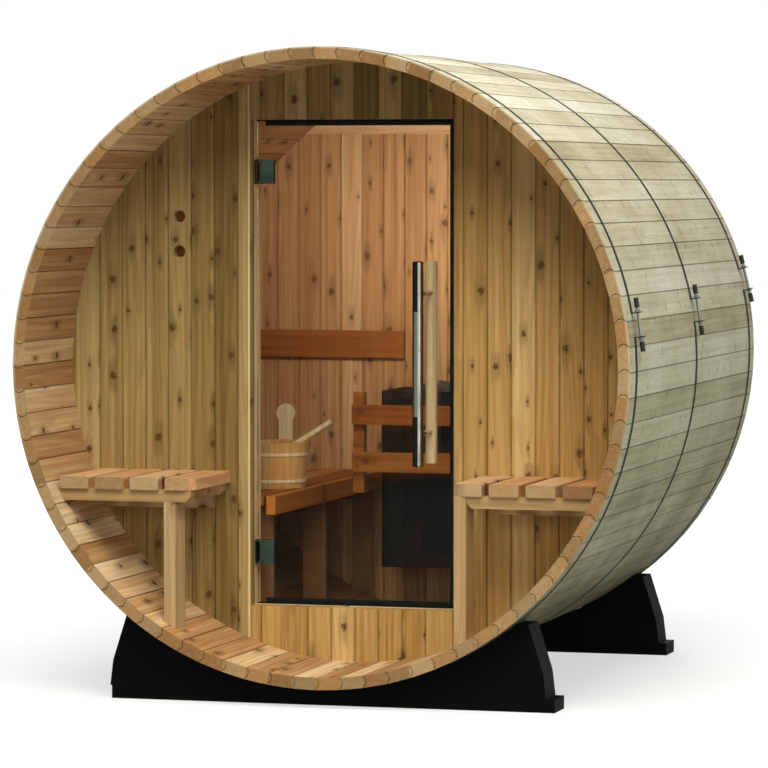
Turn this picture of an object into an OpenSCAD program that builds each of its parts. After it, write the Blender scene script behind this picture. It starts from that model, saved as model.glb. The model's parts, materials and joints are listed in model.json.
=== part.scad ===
// Barrel sauna with a porch: a cylinder of bead-and-cove staves, closed by two plank
// end walls, hooped by three steel bands and carried on two cradles.
// Millimetres. +X is to the right seen from the porch, +Y runs from the porch to the
// back, +Z is up. The origin is on the ground below the middle of the barrel.

/* [Barrel] */
// Length of the staves
barrel_length = 1829; // [1700:1:2100]
// Outer diameter, measured across the flats of opposite staves
barrel_d = 1829; // [1780:1:1900]
// Number of staves round the barrel
stave_count = 80; // [72:4:88]
// Thickness of a stave
stave_t = 35; // [32:1:42]
// Gap between neighbouring staves
stave_gap = 0.5; // [0.4:0.1:1]
// Chamfer on the long edges of a stave
stave_chamfer = 2; // [0.5:0.1:2.2]
// Height of the barrel's lowest stave above the ground
barrel_clearance = 55.5; // [50:0.5:90]

/* [End walls] */
// Depth of the porch, from the front rim to the front wall
porch_depth = 414; // [380:1:460]
// Overhang of the staves behind the back wall
back_overhang = 64; // [40:1:90]
// Thickness of the wall boards
wall_t = 35; // [28:1:40]
// Width that one wall board covers
board_w = 72; // [60:1:90]
// Chamfer on the board edges, which makes the V joint
board_chamfer = 3; // [1:0.5:4]
// Depth of the groove in the staves that holds a wall
croze_depth = 10; // [6:1:14]
// Diameter of the two vent holes
vent_d = 36; // [30:1:46]
// Distance between the two vent holes
vent_spacing = 104; // [80:1:140]

/* [Door] */
// Width of the doorway
doorway_w = 622; // [600:1:660]
// Height of wall between the doorway's upper corner and the staves
door_head_margin = 101; // [80:1:140]
// Height of wall between the doorway's lower corner and the staves
door_sill_margin = 95; // [80:1:140]
// Thickness of the glass
glass_t = 8; // [6:1:10]
// Gap between the glass and the frame at the sides
side_gap = 6; // [5:0.5:8]
// Gap between the glass and the frame at head and sill
end_gap = 10; // [8:0.5:14]
// Depth of the frame behind the wall
frame_depth = 70; // [60:1:80]
// Width of a frame member
frame_w = 45; // [35:1:50]
// Length of the two handles
handle_length = 600; // [450:10:700]
// Diameter of the steel outer handle
outer_handle_d = 32; // [25:1:38]
// Diameter of the wooden inner handle
inner_handle_d = 35; // [28:1:40]
// Space between the glass and a handle
finger_gap = 55; // [38:1:70]
// Height of a hinge
hinge_h = 72; // [60:1:90]

/* [Bands] */
// Width of a steel band
band_w = 20; // [16:1:25]
// Thickness of a steel band
band_t = 1.2; // [0.8:0.1:2]
// Distance of the outer bands from the rims
band_inset = 80; // [70:1:110]
// Distance between the two lugs of a band
lug_gap = 66; // [60:1:80]
// Diameter of the tension rod
rod_d = 8; // [6:1:10]
// Length of the tension rod
rod_length = 136; // [128:1:160]

/* [Cradles] */
// Thickness of a cradle along the barrel
cradle_t = 116; // [80:1:130]
// Angle from the barrel's lowest line to a cradle's tip, in degrees
cradle_wrap = 38; // [32:0.5:44]
// Width of the flat top of a cradle's tip
cradle_tip = 37; // [20:1:60]
// How far a cradle's foot stands out from its tip
cradle_splay = 52; // [30:1:90]
// Height of the skid under a cradle
skid_h = 38; // [25:1:45]

/* [Porch benches] */
// Width of a slat
slat_w = 85; // [70:1:88]
// Gap between two slats
slat_gap = 22; // [10:1:24]
// Thickness of a slat
slat_t = 35; // [28:1:42]
// Height of the porch seats above the barrel's floor
porch_seat_h = 557; // [500:1:590]
// Distance of a porch seat's inner edge from the barrel's middle plane
porch_seat_x = 387; // [365:1:390]
// Distance of the seat's front edge behind the front rim
porch_seat_inset = 60; // [40:1:90]
// Section of the bearers under the slats
bearer = 35; // [28:1:42]
// Depth of the post along the barrel
post_depth = 89; // [60:1:100]

/* [Cabin] */
// Height of the cabin seats above the barrel's floor
cabin_seat_h = 475; // [440:1:510]
// Distance of a cabin seat's front from the barrel's middle plane
cabin_seat_x = 280; // [260:1:300]
// Width of a cabin slat
cabin_slat_w = 81; // [70:1:84]
// Width of the electric heater
heater_w = 410; // [360:1:440]
// Height of the heater's case
heater_h = 560; // [480:1:600]
// Depth of the heater's case
heater_depth = 280; // [240:1:290]
// Outer diameter of the water bucket at its rim
bucket_d = 200; // [180:1:210]
// Height of the water bucket
bucket_h = 140; // [120:1:160]

/* [Hidden] */
$fn = 96;

// Clearance of pieces that seat against each other
seat = 0.3;
// How far a cutting shape passes the face that it cuts
cut = 1;
// Overlap of shapes that make one piece
weld = 0.1;

// Barrel
half_angle = 180 / stave_count;
out_r = barrel_d / 2;
in_r = out_r - stave_t;
axis_z = barrel_clearance + out_r;
floor_z = barrel_clearance + stave_t;
mid_r = out_r - stave_t / 2;
// Radius over the corners of the staves, which bands and cradles have to clear
corner_r = out_r / cos(half_angle);
// Largest round shape inside the barrel
room_r = in_r - seat;
front_y = -barrel_length / 2;
back_y = barrel_length / 2;
stave_groups = 8;
staves_per_group = stave_count / stave_groups;
bead_margin = 1.5;
bead_r = stave_t / 2 - bead_margin;
bead_setback = 7;

// End walls
front_wall_y = front_y + porch_depth;
cabin_front_y = front_wall_y + wall_t;
back_wall_y = back_y - back_overhang - wall_t;
croze_play = 0.5;
least_board_share = 0.35;
least_board = board_w * least_board_share;
wall_r = in_r + croze_depth - croze_play;
wall_low = axis_z - wall_r;
wall_high = axis_z + wall_r;

// Doorway and frame
door_x = -15;
doorway_left = door_x - doorway_w / 2;
doorway_right = door_x + doorway_w / 2;
// Height of the staves over the doorway's outer corner, counted from the axis
corner_rise = sqrt(in_r * in_r - doorway_left * doorway_left);
doorway_top = axis_z + corner_rise - door_head_margin;
doorway_z = axis_z - corner_rise + door_sill_margin;
doorway_mid_z = (doorway_top + doorway_z) / 2;
vent_from_door = 218;
vent_x = doorway_left - vent_from_door;
vent_drop = 390;
lower_vent_z = doorway_top - vent_drop;
left_joint_x = vent_x + board_w / 2;
right_strip = 30;
right_joint_x = doorway_right + right_strip;
header_lap = 29;
header_z = doorway_top - header_lap;
header_h = 100;
header_t = 20;
glass_setback = 22;
glass_y = cabin_front_y + glass_setback;
glass_left = doorway_left + side_gap;
glass_right = doorway_right - side_gap;
glass_bottom = doorway_z + end_gap;
glass_top = doorway_top - end_gap;
seal_section = 12;
seal_lap = 8;
latch_seal_lap = 23;
seal_y = glass_y + glass_t + side_gap;

// Hinges
hinge_setback = 14;
hinge_axis_x = doorway_left + hinge_setback;
hinge_axis_y = glass_y + glass_t / 2;
hinge_pin_r = 4;
hinge_play = 0.05;
knuckle_r = 8;
knuckle_play = 1;
hinge_plate_t = 4;
hinge_leaf_w = 52;
hinge_ear_h = 8;
hinge_notch_w = 26;
hinge_plate_margin = 7;
upper_hinge_drop = 154;
lower_hinge_rise = 156;
hinge_heights = [doorway_top - upper_hinge_drop, doorway_z + lower_hinge_rise];

// Handles
handle_from_edge = 97;
handle_x = glass_right - handle_from_edge;
standoff_d = 16;
standoff_spacing = 410;
handle_round = 3;

// Bands
band_in_r = corner_r + seat;
band_out_r = band_in_r + band_t;
band_ys = [front_y + band_inset, 0, back_y - band_inset];
band_angles = [8.2, 9.3, 14];
lug_t = 3;
lug_w = 26;
rod_stand = 16;
rod_axis_r = band_out_r + rod_stand;
lug_over_rod = 11;
lug_top_r = rod_axis_r + lug_over_rod;
rod_hole_play = 0.5;
nut_af = 13;
nut_h = 7;
cap_d = 14;
cap_length = 28;
cap_grip = 20;
cap_play = 0.3;

// Cradles
saddle_r = corner_r + seat;
cradle_tip_x = saddle_r * sin(cradle_wrap) + cradle_tip;
cradle_tip_z = axis_z - saddle_r * cos(cradle_wrap);
cradle_half = cradle_tip_x + cradle_splay;
cradle_kink_z = 112;
cradle_kink_in = 9;
band_clear = 3;
cradle_inset = band_inset + lug_w / 2 + band_clear;
skid_left_in = 5;
skid_right_out = 25;
cradle_ys = [front_y + cradle_inset, back_y - cradle_inset - cradle_t];

// Porch benches
slat_pitch = slat_w + slat_gap;
porch_seat_z = floor_z + porch_seat_h;
slat_front_y = front_y + porch_seat_inset;
slat_back_y = front_wall_y - seat;
slat_corner_r = 45;
slat_edge = 3;
slat_under_z = porch_seat_z - slat_t;
slat_length = slat_back_y - slat_front_y;
porch_slat_count = floor((half_room(slat_under_z) - porch_seat_x + slat_gap) / slat_pitch);
front_bearer_in = 12;
front_bearer_y = slat_front_y + front_bearer_in;
wall_bearer_y = front_wall_y - seat - bearer;
middle_bearer_y = (front_bearer_y + wall_bearer_y) / 2;
bearer_inset = 11;
bearer_nose = 15;
ledger_h = 40;
post_w = 35;
post_front = 5;
left_post_in = 55;
left_post_x = -porch_seat_x - left_post_in - post_w;
right_post_in = 3;
right_post_x = porch_seat_x + right_post_in;

// Cabin benches
bench_end_gap = 0.5;
cabin_bench_front_y = cabin_front_y + frame_depth + bench_end_gap;
cabin_bench_back_y = back_wall_y - bench_end_gap;
cabin_seat_z = floor_z + cabin_seat_h;
cabin_slat_gap = 10;
cabin_slat_t = 28;
seat_edge_w = 28;
seat_edge_h = 55;
cabin_bearer_h = 64;
cabin_bearer_w = 38;
cabin_slat_pitch = cabin_slat_w + cabin_slat_gap;
cabin_slat_room = half_room(cabin_seat_z - cabin_slat_t) - cabin_seat_x - seat_edge_w;
cabin_slat_count = floor(cabin_slat_room / cabin_slat_pitch);
bearer_end_in = 40;
first_cabin_bearer_y = cabin_bench_front_y + bearer_end_in;
last_cabin_bearer_y = cabin_bench_back_y - bearer_end_in - cabin_bearer_w;
middle_cabin_bearer_y = (first_cabin_bearer_y + last_cabin_bearer_y) / 2;
cabin_bearer_ys = [first_cabin_bearer_y, middle_cabin_bearer_y, last_cabin_bearer_y];
leg_w = 64;

// Backrests on the back wall
backrest_rise = 366;
backrest_z = cabin_seat_z + backrest_rise;
backrest_h = 88;
backrest_t = 20;
backrest_x = 215;

// Heater and its guard
heater_rise = 274;
heater_top_z = cabin_seat_z + heater_rise;
heater_wall_gap = 50;
heater_y = back_wall_y - heater_wall_gap - heater_depth;
heater_wall = 4;
heater_tray_depth = 60;
heater_round = 18;
heater_bracket_w = 40;
stone_heap_h = 30;
stone_heap_in = 10;
stone_heap_taper = 0.7;
stone_gap = 1;
guard_gap = 70;
guard_y = heater_y - guard_gap;
guard_rail_t = 19;
guard_rail_h = 62;
guard_rail_rises = [170, 20];
guard_post_w = 35;
guard_post_rise = 271;
guard_post_lap = 47;
guard_post_top = cabin_seat_z + guard_post_rise;
guard_post_bottom = cabin_seat_z - guard_post_lap;
guard_half = cabin_seat_x - seat;

// Bucket and ladle
bucket_in = 10;
bucket_x = -cabin_seat_x - bucket_in - bucket_d / 2;
bucket_y = -24;
bucket_wall = 11;
bucket_taper = 14;
bucket_foot_r = bucket_d / 2 - bucket_taper;
bucket_floor_z = 14;
hoop_h = 9;
hoop_proud = 3;
hoop_sunk = 2;
hoop_zs = [18, 100];
bucket_grip_w = 44;
bucket_grip_h = 112;
bucket_grip_r = 30;
bucket_grip_root = 20;
ladle_tilt = 32;
ladle_d = 18;
ladle_reach = 105;
ladle_dip = 118;
ladle_bowl_r = 32;
ladle_bowl_wall = 5;

wood = "burlywood";
weathered = "tan";
cedar = "peru";
steel = "silver";
dark = "dimgray";
black = "black";

// Half width inside the barrel at a height above the ground
function half_room(z) = sqrt(room_r * room_r - (z - axis_z) * (z - axis_z));

// A cylinder along Y, from y0 to y1, round the barrel's axis
module drum(r, y0, y1) {
    translate([0, y1, axis_z]) rotate([90, 0, 0]) cylinder(r = r, h = y1 - y0, $fn = 180);
}

// A box between two corners
module block(low, high) {
    translate(low) cube(high - low);
}

// Mirrors what belongs to the left side onto the right one
module on_side(side) {
    if (side < 0) children();
    else mirror([1, 0, 0]) children();
}

// Keeps what lies inside the barrel, cut to its curve
module scribed() {
    intersection() {
        children();
        drum(room_r, front_y, back_y);
    }
}

// Section of a stave that is centred on +X: radial along x, round the barrel along y
module stave_section() {
    inner = in_r * tan(half_angle) - stave_gap / 2;
    outer = out_r * tan(half_angle) - stave_gap / 2;
    c = stave_chamfer;
    bead = [mid_r, mid_r * tan(half_angle) - bead_setback];
    difference() {
        union() {
            polygon([
                [in_r, c - inner], [in_r + c, -inner], [out_r - c, -outer], [out_r, c - outer],
                [out_r, outer - c], [out_r - c, outer], [in_r + c, inner], [in_r, inner - c]
            ]);
            translate(bead) circle(bead_r);
        }
        rotate(-2 * half_angle) translate(bead) circle(bead_r + stave_gap);
    }
}

// Groove across the inside of a stave for a wall that starts at y
module croze(y) {
    reach = stave_t * 2;
    block([in_r - cut, y - croze_play, -reach], [in_r + croze_depth, y + wall_t + croze_play, reach]);
}

module stave(angle) {
    translate([0, 0, axis_z]) rotate([0, -angle, 0]) difference() {
        translate([0, back_y, 0]) rotate([90, 0, 0]) linear_extrude(barrel_length) stave_section();
        croze(front_wall_y);
        croze(back_wall_y);
    }
}

// One eighth of the barrel, with its middle at an angle from +X
module stave_group(middle) {
    step = 360 / stave_count;
    color(weathered) for (i = [0 : staves_per_group - 1])
        stave(middle + (i - (staves_per_group - 1) / 2) * step);
}

// Steel band with a bent-up lug at each end, for the tension rod
module band(i) {
    half_gap = asin((lug_gap + lug_t) / 2 / band_out_r);
    color(steel) translate([0, band_ys[i], axis_z]) rotate([0, -band_angles[i], 0]) difference() {
        union() {
            rotate([90, 0, 0]) rotate(half_gap) rotate_extrude(angle = 360 - 2 * half_gap, $fn = 180)
                translate([band_in_r, -band_w / 2]) square([band_t, band_w]);
            for (end = [0, 1]) mirror([0, 0, end])
                block([band_in_r, -lug_w / 2, lug_gap / 2], [lug_top_r, lug_w / 2, lug_gap / 2 + lug_t]);
        }
        translate([rod_axis_r, 0, -lug_gap]) cylinder(d = rod_d + 2 * rod_hole_play, h = 2 * lug_gap);
    }
}

// Places what belongs to a band's tension rod, which runs along z
module at_rod(i) {
    translate([0, band_ys[i], axis_z]) rotate([0, -band_angles[i], 0])
        translate([rod_axis_r, 0, 0]) children();
}

module band_tension_rods() {
    color(steel) for (i = [0 : 2]) at_rod(i) {
        translate([0, 0, -rod_length / 2]) cylinder(d = rod_d, h = rod_length);
        for (end = [0, 1]) mirror([0, 0, end]) translate([0, 0, lug_gap / 2 + lug_t + seat])
            cylinder(d = nut_af / cos(30), h = nut_h, $fn = 6);
    }
}

module tension_rod_caps() {
    color(black) for (i = [0 : 2], end = [0, 1]) at_rod(i) mirror([0, 0, end])
        translate([0, 0, rod_length / 2 - cap_grip]) difference() {
            cylinder(d = cap_d, h = cap_length);
            translate([0, 0, -cut]) cylinder(d = rod_d + 2 * cap_play, h = cut + cap_grip + cap_play);
        }
}

// Outline of a wall board in plan, with chamfered edges, from x0 to x1
module board_plan(x0, x1) {
    c = board_chamfer;
    a = x0 + stave_gap / 2;
    b = x1 - stave_gap / 2;
    polygon([
        [a + c, 0], [b - c, 0], [b, c], [b, wall_t - c],
        [b - c, wall_t], [a + c, wall_t], [a, wall_t - c], [a, c]
    ]);
}

// Upright boards between x0 and x1, with one joint at joint_x, cut to the round of the barrel.
// A strip too narrow for a board of its own stays with its neighbour.
module boards(y, x0, x1, z0, z1, joint_x) {
    first = ceil((x0 + least_board - joint_x) / board_w);
    last = floor((x1 - least_board - joint_x) / board_w);
    edges = concat([x0], [for (i = [first : last]) joint_x + i * board_w], [x1]);
    for (i = [0 : len(edges) - 2]) intersection() {
        translate([0, y, z0]) linear_extrude(z1 - z0) board_plan(edges[i], edges[i + 1]);
        drum(wall_r, y - cut, y + wall_t + cut);
    }
}

module front_wall_left() {
    color(wood) difference() {
        boards(front_wall_y, -wall_r, doorway_left, wall_low, wall_high, left_joint_x);
        for (i = [0, 1]) translate([vent_x, cabin_front_y + cut, lower_vent_z + i * vent_spacing])
            rotate([90, 0, 0]) cylinder(d = vent_d, h = wall_t + 2 * cut);
    }
}

module front_wall_right() {
    color(wood) boards(front_wall_y, doorway_right, wall_r, wall_low, wall_high, right_joint_x);
}

module front_wall_head() {
    color(wood) boards(front_wall_y, doorway_left, doorway_right, doorway_top, wall_high, left_joint_x);
}

module front_wall_sill() {
    color(wood) boards(front_wall_y, doorway_left, doorway_right, wall_low, doorway_z, left_joint_x);
}

module back_wall() {
    color(cedar) boards(back_wall_y, -wall_r, wall_r, wall_low, wall_high, 0);
}

module back_wall_header() {
    color(cedar) scribed()
        block([-room_r, back_wall_y - header_t, header_z], [room_r, back_wall_y, header_z + header_h]);
}

// Frame behind the wall boards, round the doorway: two jambs between a head and a sill
module door_frame() {
    y1 = cabin_front_y + frame_depth;
    left = doorway_left - frame_w;
    right = doorway_right + frame_w;
    color(wood) {
        block([left, cabin_front_y, doorway_z + seat], [doorway_left, y1, doorway_top - seat]);
        block([doorway_right, cabin_front_y, doorway_z + seat], [right, y1, doorway_top - seat]);
        block([left, cabin_front_y, doorway_top], [right, y1, doorway_top + frame_w]);
        block([left, cabin_front_y, doorway_z - frame_w], [right, y1, doorway_z]);
    }
}

// Rubber stops behind the glass at head, latch side and sill. Head and sill strip are narrow at
// the hinge side, where the edge of the glass turns inwards.
module door_seal() {
    half_h = doorway_top - doorway_mid_z;
    hinge_side = 2 * hinge_axis_x - glass_left + side_gap;
    left = doorway_left + seat;
    right = doorway_right - seat;
    lap_z = half_h - end_gap - seal_lap;
    narrow_z = half_h - end_gap + side_gap;
    latch_x = glass_right - latch_seal_lap;
    color(black) translate([0, seal_y + seal_section, doorway_mid_z]) rotate([90, 0, 0])
        linear_extrude(seal_section) {
            for (end = [0, 1]) mirror([0, end]) polygon([
                [left, narrow_z], [hinge_side, narrow_z], [hinge_side, lap_z],
                [right, lap_z], [right, half_h - seat], [left, half_h - seat]
            ]);
            translate([latch_x, -lap_z + seat]) square([right - latch_x, 2 * (lap_z - seat)]);
        }
}

// Leaf screwed to the jamb, with two ears that carry the hinge pin
module frame_hinge_leaf() {
    plate_x = doorway_left + seat;
    half_plate = knuckle_r + hinge_plate_margin;
    ear_z = hinge_h / 2 - hinge_ear_h;
    translate([0, hinge_axis_y, 0]) {
        block([plate_x, -half_plate, -hinge_h / 2], [plate_x + hinge_plate_t, half_plate, hinge_h / 2]);
        for (end = [0, 1]) mirror([0, 0, end]) {
            block([plate_x, -knuckle_r, ear_z], [hinge_axis_x, knuckle_r, hinge_h / 2]);
            translate([hinge_axis_x, 0, ear_z]) cylinder(r = knuckle_r, h = hinge_ear_h);
        }
        translate([hinge_axis_x, 0, -hinge_h / 2]) cylinder(r = hinge_pin_r, h = hinge_h);
    }
}

module frame_hinge_leaves() {
    color(dark) for (z = hinge_heights) translate([0, 0, z]) frame_hinge_leaf();
}

// Knuckle on the pin between the ears, with two plates that clamp the glass
module door_hinge_leaf() {
    knuckle_h = hinge_h - 2 * (hinge_ear_h + knuckle_play);
    half_clamp = glass_t / 2 + seat;
    half_leaf = half_clamp + hinge_plate_t;
    plate_x = hinge_axis_x + knuckle_r + knuckle_play;
    leaf_end = glass_left + hinge_leaf_w;
    core_end = glass_left + hinge_notch_w - seat;
    translate([0, hinge_axis_y, 0]) difference() {
        union() {
            translate([hinge_axis_x, 0, -knuckle_h / 2]) cylinder(r = knuckle_r, h = knuckle_h);
            block([hinge_axis_x, -half_leaf, -knuckle_h / 2], [core_end, half_leaf, knuckle_h / 2]);
            for (side = [0, 1]) mirror([0, side, 0])
                block([plate_x, half_clamp, -hinge_h / 2], [leaf_end, half_leaf, hinge_h / 2]);
        }
        translate([hinge_axis_x, 0, -hinge_h / 2]) cylinder(r = hinge_pin_r + hinge_play, h = hinge_h);
    }
}

module door_hinge_leaves() {
    color(dark) for (z = hinge_heights) translate([0, 0, z]) door_hinge_leaf();
}

module door_glass() {
    notch_h = hinge_h + 2 * side_gap;
    color("lightcyan", 0.35) difference() {
        block([glass_left, glass_y, glass_bottom], [glass_right, glass_y + glass_t, glass_top]);
        for (z = hinge_heights) block([glass_left - cut, glass_y - cut, z - notch_h / 2],
            [glass_left + hinge_notch_w, glass_y + glass_t + cut, z + notch_h / 2]);
    }
}

// Upright bar on two standoffs, on the side of the glass that dir points to
module handle(d, dir) {
    face_y = dir < 0 ? glass_y : glass_y + glass_t;
    bar_y = face_y + dir * (finger_gap + d / 2);
    translate([handle_x, bar_y, axis_z]) {
        translate([0, 0, -handle_length / 2]) rotate_extrude() polygon([
            [0, 0], [d / 2 - handle_round, 0], [d / 2, handle_round],
            [d / 2, handle_length - handle_round], [d / 2 - handle_round, handle_length], [0, handle_length]
        ]);
        for (side = [-1, 1]) translate([0, 0, side * standoff_spacing / 2]) rotate([dir * 90, 0, 0])
            cylinder(d = standoff_d, h = finger_gap + d / 2 - seat);
    }
}

module outer_handle() {
    color(steel) handle(outer_handle_d, -1);
}

module inner_handle() {
    color(wood) handle(inner_handle_d, 1);
}

// Outline of a porch slat from above, with a round front corner where it is the last one
module porch_slat_plan(rounded) {
    r = rounded ? slat_corner_r : 0;
    square([slat_w - r, slat_length]);
    translate([0, r]) square([slat_w, slat_length - r]);
    translate([slat_w - r, r]) circle(r);
}

// One porch slat from x0, with eased upper edges
module porch_slat(x0, rounded) {
    e = slat_edge;
    translate([x0, slat_front_y, slat_under_z]) intersection() {
        linear_extrude(slat_t) porch_slat_plan(rounded);
        translate([0, slat_length, 0]) rotate([90, 0, 0]) linear_extrude(slat_length) polygon([
            [0, 0], [slat_w, 0], [slat_w, slat_t - e], [slat_w - e, slat_t], [e, slat_t], [0, slat_t - e]
        ]);
    }
}

module porch_slats(side) {
    seat_w = porch_slat_count * slat_pitch - slat_gap;
    color(wood) on_side(side) for (i = [0 : porch_slat_count - 1])
        porch_slat(-porch_seat_x - seat_w + i * slat_pitch, i == porch_slat_count - 1);
}

// Bearer under the slats, scribed to the barrel, with its inner end at x and a cut nose
module porch_bearer(y, x) {
    z0 = slat_under_z - bearer;
    z1 = slat_under_z - seat;
    scribed() translate([0, y + bearer, 0]) rotate([90, 0, 0]) linear_extrude(bearer)
        polygon([[-room_r, z0], [x - bearer_nose, z0], [x, z0 + bearer_nose], [x, z1], [-room_r, z1]]);
}

// Three bearers and the ledger on the wall; the front one may stop at a post
module porch_bearers(side, front_x) {
    inner_x = -porch_seat_x - bearer_inset;
    ledger_z = slat_under_z - bearer;
    color(wood) on_side(side) {
        porch_bearer(front_bearer_y, front_x);
        porch_bearer(middle_bearer_y, inner_x);
        porch_bearer(wall_bearer_y, inner_x);
        scribed() block([-room_r, wall_bearer_y, ledger_z - ledger_h],
            [inner_x - bearer, wall_bearer_y + bearer, ledger_z - seat]);
    }
}

// Post on the barrel's floor, with its left side at x and its top at z
module porch_post(x, z) {
    y = front_bearer_y - post_front;
    color(wood) scribed() block([x, y, axis_z - room_r], [x + post_w, y + post_depth, z - seat]);
}

// Cabin bench on the left side: slats behind a deep front edge
module bench_seat(side) {
    color(cedar) on_side(side) {
        block([-cabin_seat_x - seat_edge_w, cabin_bench_front_y, cabin_seat_z - seat_edge_h],
            [-cabin_seat_x, cabin_bench_back_y, cabin_seat_z]);
        for (i = [0 : cabin_slat_count - 1]) {
            x1 = -cabin_seat_x - seat_edge_w - cabin_slat_gap - i * cabin_slat_pitch;
            block([x1 - cabin_slat_w, cabin_bench_front_y, cabin_seat_z - cabin_slat_t],
                [x1, cabin_bench_back_y, cabin_seat_z]);
        }
    }
}

// Bearers under the slats, scribed to the barrel, each with a leg at its inner end
module bench_frame(side) {
    z1 = cabin_seat_z - cabin_slat_t - seat;
    z0 = z1 - cabin_bearer_h;
    x1 = -cabin_seat_x - seat_edge_w - seat;
    color(cedar) on_side(side) for (y = cabin_bearer_ys) {
        scribed() block([-room_r, y, z0], [x1, y + cabin_bearer_w, z1]);
        scribed() block([x1 - leg_w, y, axis_z - room_r], [x1, y + cabin_bearer_w, z0 - seat]);
    }
}

// Boards on the back wall above the benches
module backrests() {
    face_y = back_wall_y - backrest_t;
    color(cedar) for (side = [-1, 1]) on_side(side) scribed()
        block([-room_r, face_y, backrest_z], [-backrest_x, back_wall_y - seat, backrest_z + backrest_h]);
}

// Rounded rectangle, w along x and d along y, centred in x
module heater_plan(w, d, r) {
    translate([-w / 2 + r, r]) square([w - 2 * r, d - 2 * r]);
    translate([-w / 2, r]) square([w, d - 2 * r]);
    translate([-w / 2 + r, 0]) square([w - 2 * r, d]);
    for (x = [-1, 1], y = [r, d - r]) translate([x * (w / 2 - r), y]) circle(r);
}

// Wall-hung electric heater: a case open below, with a tray for the stones and two wall brackets
module heater() {
    bottom = heater_top_z - heater_h;
    inner_w = heater_w - 2 * heater_wall;
    inner_d = heater_depth - 2 * heater_wall;
    tray_floor_z = heater_h - heater_tray_depth;
    bracket_x = heater_w / 4;
    color(dark) {
        translate([0, heater_y, bottom]) difference() {
            linear_extrude(heater_h) heater_plan(heater_w, heater_depth, heater_round);
            translate([0, heater_wall, tray_floor_z]) linear_extrude(heater_tray_depth + cut)
                heater_plan(inner_w, inner_d, heater_round - heater_wall);
            translate([0, heater_wall, -cut]) linear_extrude(cut + tray_floor_z - heater_wall)
                heater_plan(inner_w, inner_d, heater_round - heater_wall);
        }
        for (side = [0, 1]) mirror([side, 0, 0])
            block([bracket_x - heater_bracket_w / 2, heater_y + heater_depth - weld, bottom + heater_h / 2],
                [bracket_x + heater_bracket_w / 2, back_wall_y, heater_top_z - heater_tray_depth]);
    }
}

// Heap of stones that fills the tray and rises above it
module heater_stones() {
    w = heater_w - 2 * (heater_wall + stone_gap);
    d = heater_depth - 2 * (heater_wall + stone_gap);
    base_h = heater_tray_depth - seat;
    color("darkslategray") translate([0, heater_y + heater_depth / 2, heater_top_z - base_h]) {
        linear_extrude(base_h) translate([0, -d / 2]) heater_plan(w, d, heater_round - heater_wall);
        translate([0, 0, base_h]) linear_extrude(stone_heap_h, scale = stone_heap_taper)
            square([w - 2 * stone_heap_in, d - 2 * stone_heap_in], center = true);
    }
}

// Two rails screwed to the front of two posts, between the bench fronts
module heater_guard() {
    color(cedar) {
        for (rise = guard_rail_rises)
            block([-guard_half, guard_y, cabin_seat_z + rise],
                [guard_half, guard_y + guard_rail_t, cabin_seat_z + rise + guard_rail_h]);
        for (side = [-1, 1]) on_side(side)
            block([-guard_half, guard_y + guard_rail_t + seat, guard_post_bottom],
                [-guard_half + guard_post_w, guard_y + guard_rail_t + seat + guard_post_w, guard_post_top]);
    }
}

// Stave bucket with two hoops and one long stave that makes the grip
module bucket() {
    rim_r = bucket_d / 2;
    function wall_r_at(z) = bucket_foot_r + (rim_r - bucket_foot_r) * z / bucket_h;
    floor_r = wall_r_at(bucket_floor_z) - bucket_wall;
    neck = bucket_grip_root + bucket_grip_h - bucket_grip_r;
    color("wheat") translate([bucket_x, bucket_y, cabin_seat_z + seat]) {
        rotate_extrude() polygon([
            [0, 0], [bucket_foot_r, 0], [rim_r, bucket_h],
            [rim_r - bucket_wall, bucket_h], [floor_r, bucket_floor_z], [0, bucket_floor_z]
        ]);
        for (z = hoop_zs) rotate_extrude()
            translate([wall_r_at(z) - hoop_sunk, z]) square([hoop_sunk + hoop_proud, hoop_h]);
        translate([0, rim_r, bucket_h - bucket_grip_root]) rotate([90, 0, 0]) linear_extrude(bucket_wall) {
            translate([-bucket_grip_w / 2, 0]) square([bucket_grip_w, neck]);
            translate([0, neck]) circle(bucket_grip_r);
        }
    }
}

// Ladle that leans on the bucket's rim with its bowl inside
module ladle() {
    lean = ladle_d / 2 + seat;
    rest_x = bucket_x + bucket_d / 2 - bucket_wall;
    color("wheat") translate([rest_x, bucket_y, cabin_seat_z + seat + bucket_h])
        rotate([0, -ladle_tilt, 0]) translate([0, 0, lean]) {
            translate([-ladle_dip, 0, 0]) rotate([0, 90, 0])
                cylinder(d = ladle_d, h = ladle_dip + ladle_reach);
            translate([-ladle_dip, 0, -ladle_bowl_r / 2]) difference() {
                cylinder(r = ladle_bowl_r, h = ladle_bowl_r);
                translate([0, 0, ladle_bowl_wall])
                    cylinder(r = ladle_bowl_r - ladle_bowl_wall, h = ladle_bowl_r);
            }
        }
}

// Saddle with a hollow top that takes the barrel, starting at y
module cradle(y) {
    kink_x = cradle_half - cradle_kink_in;
    color(black) difference() {
        translate([0, y + cradle_t, 0]) rotate([90, 0, 0]) linear_extrude(cradle_t) polygon([
            [-cradle_half, skid_h], [cradle_half, skid_h], [kink_x, cradle_kink_z],
            [cradle_tip_x, cradle_tip_z], [-cradle_tip_x, cradle_tip_z], [-kink_x, cradle_kink_z]
        ]);
        drum(saddle_r, y - cut, y + cradle_t + cut);
    }
}

module cradle_skids() {
    color(black) for (y = cradle_ys)
        block([skid_left_in - cradle_half, y, 0], [cradle_half + skid_right_out, y + cradle_t, skid_h]);
}

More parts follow.
